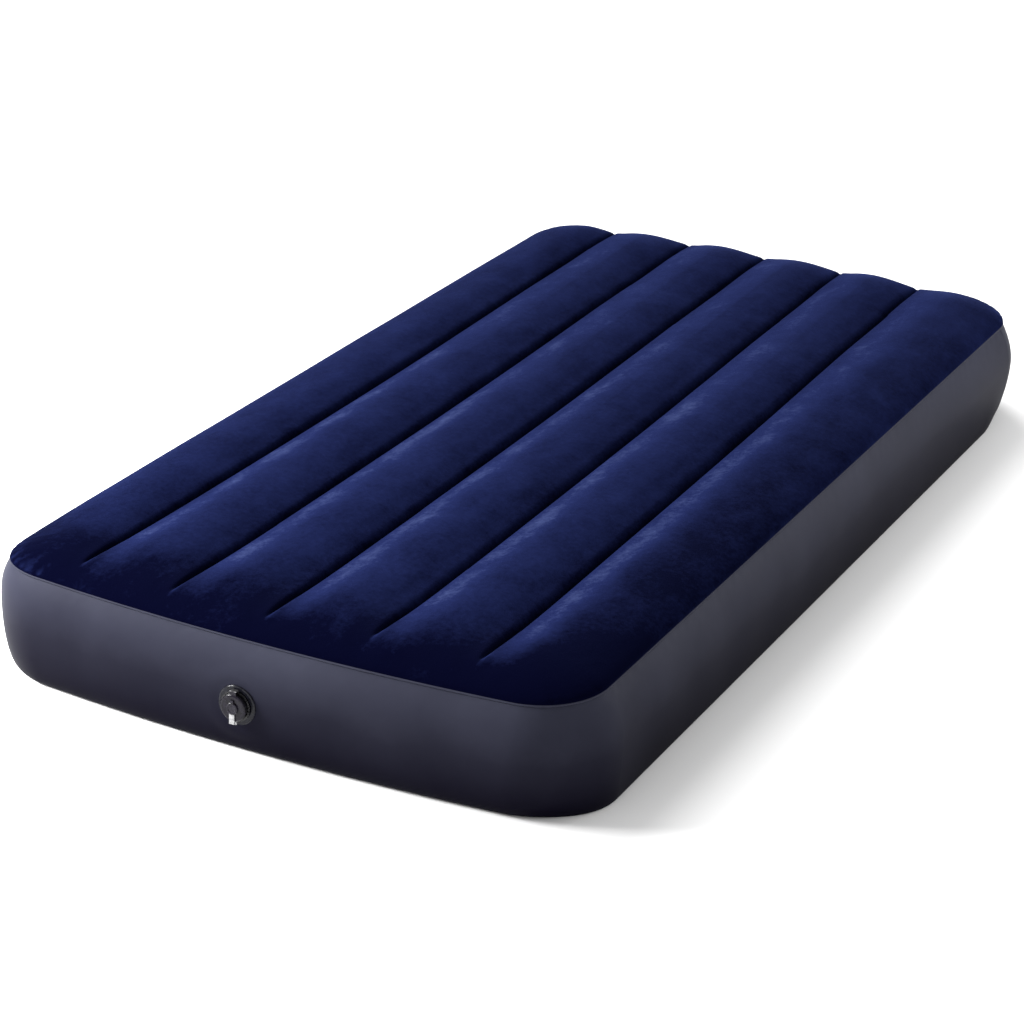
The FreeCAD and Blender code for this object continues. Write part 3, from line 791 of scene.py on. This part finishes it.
def seam_bead(loop, normals, mat):
    """The welded lip between the flocked top and the wall."""
    section = [(-0.0015, -0.0024), (0.0004, -0.0022), (0.0012, -0.0014), (0.0013, -0.0002)]
    section += [(0.0007, 0.0008), (-0.0015, 0.0012)]
    n = np.array(section)
    x = loop[:, 0][None, :] + normals[:, 0][None, :] * n[:, 0][:, None]
    y = loop[:, 1][None, :] + normals[:, 1][None, :] * n[:, 0][:, None]
    z = np.broadcast_to(SEAM_Z + n[:, 1][:, None], x.shape)
    faces = grid_faces(len(section), len(loop), wrap=True)
    return mesh_object("seam_bead", drawn_in(np.stack([x, y + MID_Y, z], -1)), faces, mat)


def base_surface(column, x, y):
    """The underside: flat on the floor, pulled up along the beams, met by the wall's turned-in edge."""
    d, nx, ny = inside(x, y)
    gap, _ = crease_gap(column)
    half = BASE_CREASE_HALF
    from_end = end_of_column(x) - np.abs(y)
    run = ease((from_end - 0.03) / 0.09)
    z = BASE_CREASE_HIGH * np.clip(1 - gap / half, 0, 1) ** 1.4 * run
    z = z + 0.0002 * np.maximum(1 + waves(x, y, 8, 0.03, 0.12, 21), 0) * (gap > half)
    z = np.maximum(z, 0.0)
    corner = corner_share(nx, ny)
    tuck = CORNER_TUCK * corner + HEAD_TUCK * head_turn(x, y)
    shift = (FOOT_IN - tuck) * (1 - np.clip(d / 0.08, 0, 1))
    return drawn_in(np.stack([x + nx * shift, y + ny * shift + MID_Y, z], -1))


def finish_valve():
    """Gives the valve's CAD nodes their materials."""
    dark, grey, pale = (0.003, 0.003, 0.005), (0.010, 0.0105, 0.016), (0.50, 0.50, 0.51)
    body = smoky_material("body_vinyl", dark, grey, 0.0225, 0, 0.05)
    # the stopper's lip and the cap's tab, past their edges, are painted highlight in the pale colour, as if
    # catching the light
    stopper = smoky_material("stopper_vinyl", (0.009, 0.0075, 0.014), pale, 0.0228, 0.003, 0.1)
    cap = smoky_material("cap_vinyl", (0.017, 0.015, 0.024), pale, 0.0113, 0.0025, 0.1)
    strap = smoky_material("strap_vinyl", (0.02, 0.02, 0.022), (0.05, 0.05, 0.052), 0.0220, 0, 0.3)
    finishes = {
        "valve_body": body,
        "valve_seat": body,
        "stopper": stopper,
        "stopper_strap": strap,
        "inflation_cap": cap,
        "cap_strap": strap,
        "check_flap": rubber_material(),
    }
    for name, finish in finishes.items():
        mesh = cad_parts[name].data
        mesh.materials.clear()
        mesh.materials.append(finish)


# ---------------------------------------------------------------- stage


def stage():
    """The pale floor and the even light of the room."""
    mat, _, shader = material("pale_floor")
    shader.inputs["Base Color"].default_value = (0.93, 0.93, 0.93, 1)
    shader.inputs["Roughness"].default_value = 0.9
    size, z = FLOOR_SIZE, FLOOR_Z
    points = [(-size, -size, z), (size, -size, z), (size, size, z), (-size, size, z)]
    floor = mesh_object("floor", points, [(0, 1, 2, 3)], mat, smooth=False)
    world = bpy.data.worlds.new("world")
    world.use_nodes = True
    background = world.node_tree.nodes["Background"]
    background.inputs["Color"].default_value = (1, 1, 1, 1)
    background.inputs["Strength"].default_value = ROOM_STRENGTH
    bpy.context.scene.world = world
    bpy.context.scene.view_settings.view_transform = "Standard"


def area_light(name, place, aim, size, power):
    """A soft rectangular light at a place, turned to what it lights."""
    data = bpy.data.lights.new(name, "AREA")
    data.shape = "RECTANGLE"
    data.size, data.size_y = size
    data.energy = power
    obj = bpy.data.objects.new(name, data)
    obj.visible_camera = False
    obj.location = place
    obj.rotation_euler = (Vector(aim) - Vector(place)).to_track_quat("-Z", "Y").to_euler()
    bpy.context.scene.collection.objects.link(obj)


def sun_light(name, towards, strength, angle):
    """A broad distant light from the direction towards."""
    data = bpy.data.lights.new(name, "SUN")
    data.energy = strength
    data.angle = math.radians(angle)
    obj = bpy.data.objects.new(name, data)
    obj.rotation_euler = Vector(towards).to_track_quat("Z", "Y").to_euler()
    bpy.context.scene.collection.objects.link(obj)


def camera():
    """The camera, at the viewing angle of the photo."""
    yaw, pitch, roll = CAMERA_YAW, CAMERA_PITCH, CAMERA_ROLL
    forward = Vector((-math.sin(yaw) * math.cos(pitch), math.cos(yaw) * math.cos(pitch), -math.sin(pitch)))
    right = Vector((math.cos(yaw), math.sin(yaw), 0))
    up = right.cross(forward)
    right, up = (
        right * math.cos(roll) + up * math.sin(roll),
        up * math.cos(roll) - right * math.sin(roll),
    )
    data = bpy.data.cameras.new("camera")
    data.sensor_width = 36.0
    data.lens = CAMERA_LENS
    data.clip_end = 100.0
    obj = bpy.data.objects.new("camera", data)
    obj.matrix_world = Matrix.Translation(CAMERA_PLACE) @ Matrix((right, up, -forward)).transposed().to_4x4()
    bpy.context.scene.collection.objects.link(obj)
    bpy.context.scene.camera = obj


camera()
stage()
sun_light("key", KEY_TOWARDS, KEY_STRENGTH, KEY_ANGLE)
area_light("left", LEFT_PLACE, LEFT_AIM, LEFT_SIZE, LEFT_POWER)
area_light("back", BACK_PLACE, BACK_AIM, BACK_SIZE, BACK_POWER)
build_skin()
finish_valve()
